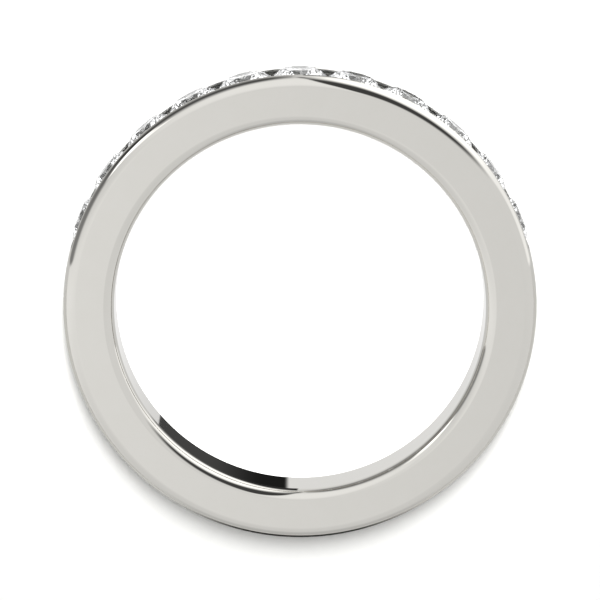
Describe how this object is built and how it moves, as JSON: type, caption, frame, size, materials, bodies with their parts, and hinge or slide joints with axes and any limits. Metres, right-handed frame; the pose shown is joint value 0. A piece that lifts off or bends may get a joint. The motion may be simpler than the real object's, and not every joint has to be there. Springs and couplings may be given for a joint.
{
  "type": "channel set band",
  "caption": "Flat-sided finger ring with rounded edges; an open channel round its front half holds a row of round brilliant stones between two plain walls.",
  "frame": {"origin": "on the ring's axis, in the plane of the lower side face, on which the ring lies", "axes": "+Z along the finger hole's axis, -Y towards the middle stone of the row, +X to the right seen from the stones' side"},
  "size_m": [0.022, 0.0221, 0.003],
  "materials": {
    "white_gold": "mirror polished, rhodium plated",
    "diamond": "polished facets"
  },
  "bodies": {
    "root": {"band": "white_gold", "stone_01": "diamond", "stone_02": "diamond", "stone_03": "diamond", "stone_04": "diamond", "stone_05": "diamond", "stone_06": "diamond", "stone_07": "diamond", "stone_08": "diamond", "stone_09": "diamond", "stone_10": "diamond", "stone_11": "diamond"}
  },
  "joints": []
}
